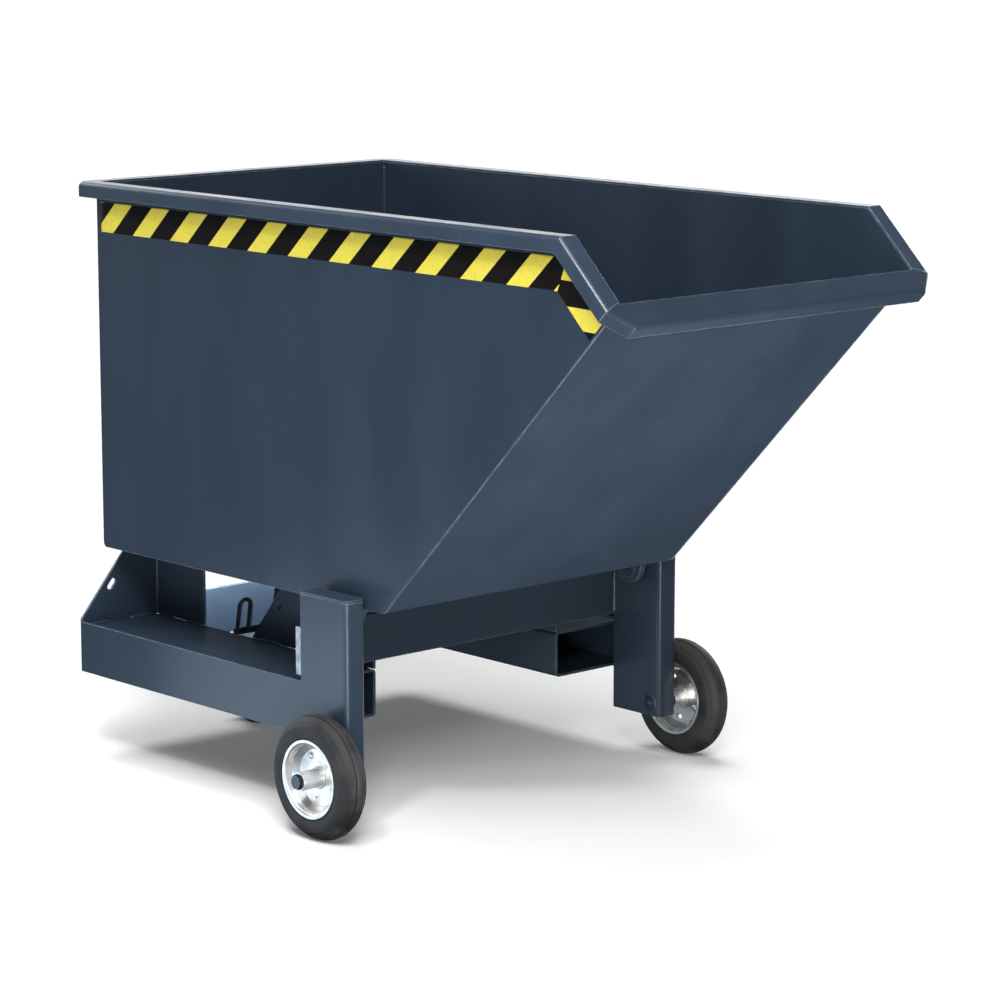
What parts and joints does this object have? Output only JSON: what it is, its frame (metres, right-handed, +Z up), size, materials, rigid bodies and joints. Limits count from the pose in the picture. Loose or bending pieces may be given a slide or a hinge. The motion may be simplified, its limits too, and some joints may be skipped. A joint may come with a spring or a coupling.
{
  "type": "tipping skip trolley",
  "caption": "Sheet steel tipping skip on a wheeled chassis with fork pockets: a sloped-front bin pivots forward between posts to empty, with a rear castor and push handle.",
  "frame": {"origin": "bottom centre of the bounding box, on the ground under the middle of the trolley", "axes": "+X forward, the way the bin tips; +Y to the left; +Z up"},
  "size_m": [1.3636, 0.8972, 0.976],
  "materials": {
    "paint": "dark grey-blue enamel, satin",
    "zinc": "bright zinc plate",
    "rubber": "matt grey-black rubber",
    "plastic": "moulded nylon",
    "bearing_plastic": "black nylon",
    "blackened": "black oxide steel",
    "bronze": "sintered bronze",
    "tape": "black and yellow diagonal hazard stripes"
  },
  "bodies": {
    "chassis": {"right_side_plate": "paint", "left_side_plate": "paint", "right_post_cap": "paint", "left_post_cap": "paint", "right_fork_pocket": "paint", "left_fork_pocket": "paint", "right_rear_support": "paint", "left_rear_support": "paint", "right_front_support": "paint", "left_front_support": "paint", "right_pivot_pin": "zinc", "left_pivot_pin": "zinc", "right_axle_bolt": "paint", "left_axle_bolt": "paint", "right_axle_nut": "blackened", "left_axle_nut": "blackened", "front_beam": "paint", "rear_beam": "paint", "castor_plate": "zinc", "castor_race": "zinc", "castor_kingpin": "zinc", "castor_bolts": "zinc", "latch_ears": "paint"},
    "bin": {"bin_wrap": "paint", "rear_rim": "paint", "front_lip": "paint", "push_handle": "paint", "handle_bases": "paint", "striker_cheeks": "paint", "striker_bar": "zinc", "right_side_wall": "paint", "left_side_wall": "paint", "right_rim": "paint", "left_rim": "paint", "right_hazard_tape": "tape", "left_hazard_tape": "tape", "right_pivot_lug": "paint", "left_pivot_lug": "paint", "right_pivot_bush": "bronze", "left_pivot_bush": "bronze"},
    "right_wheel": {"right_tyre": "rubber", "right_wheel_discs": "zinc", "right_wheel_rivets": "zinc", "right_hub": "zinc", "right_hub_bearing": "bearing_plastic"},
    "left_wheel": {"left_tyre": "rubber", "left_wheel_discs": "zinc", "left_wheel_rivets": "zinc", "left_hub": "zinc", "left_hub_bearing": "bearing_plastic"},
    "castor": {"castor_fork": "zinc", "castor_axle": "zinc"},
    "castor_wheel": {"castor_core": "plastic", "castor_tyre": "rubber"},
    "latch": {"latch_shaft": "blackened", "latch_hook": "blackened", "latch_loop": "blackened"}
  },
  "joints": [
    {"name": "bin_tip", "type": "hinge", "parent": "chassis", "child": "bin", "pos_m": [0.0487, 0, 0.332], "axis": [0, 1, 0], "range_deg": [0, 62]},
    {"name": "right_wheel_spin", "type": "hinge", "parent": "chassis", "child": "right_wheel", "pos_m": [0.0817, -0.3993, 0.1], "axis": [0, 1, 0], "continuous": true},
    {"name": "left_wheel_spin", "type": "hinge", "parent": "chassis", "child": "left_wheel", "pos_m": [0.0817, 0.3993, 0.1], "axis": [0, 1, 0], "continuous": true},
    {"name": "castor_swivel", "type": "hinge", "parent": "chassis", "child": "castor", "pos_m": [-0.5363, 0, 0.145], "axis": [0, 0, 1], "continuous": true},
    {"name": "castor_spin", "type": "hinge", "parent": "castor", "child": "castor_wheel", "pos_m": [-0.5763, 0, 0.0625], "axis": [0, 1, 0], "continuous": true},
    {"name": "latch_turn", "type": "hinge", "parent": "chassis", "child": "latch", "pos_m": [-0.5233, 0, 0.185], "axis": [0, 1, 0], "range_deg": [-10, 0]}
  ]
}
